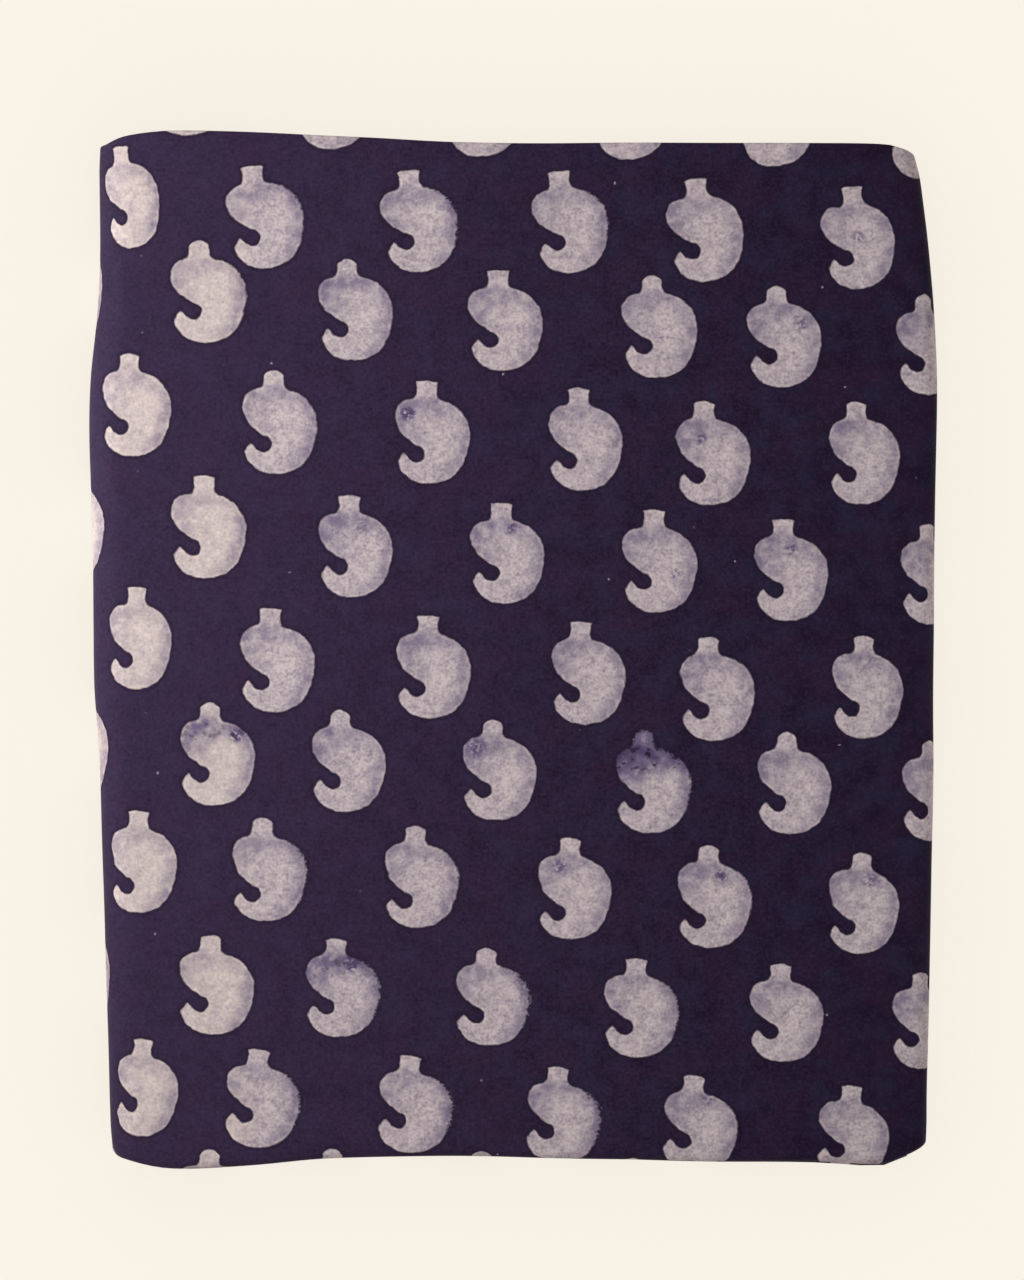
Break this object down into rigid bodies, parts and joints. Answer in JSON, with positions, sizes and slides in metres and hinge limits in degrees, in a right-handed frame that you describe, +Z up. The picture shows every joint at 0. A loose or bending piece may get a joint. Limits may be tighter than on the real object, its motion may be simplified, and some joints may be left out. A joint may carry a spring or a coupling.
{
  "type": "folded block-printed cotton cloth",
  "caption": "Cut length of resist-printed indigo cotton with pale mango motifs, folded flat in half and in half again both ways.",
  "frame": {"origin": "on the surface that the cloth lies on, under the middle of the folded bundle", "axes": "+X across the folded width, away from the large outer fold; +Y along the folded length, the way the motifs stand; +Z up, out of the top ply"},
  "size_m": [0.2819, 0.3468, 0.0221],
  "materials": {
    "printed_cotton": "matte"
  },
  "bodies": {
    "root": {"folded_cloth": "printed_cotton"}
  },
  "joints": []
}
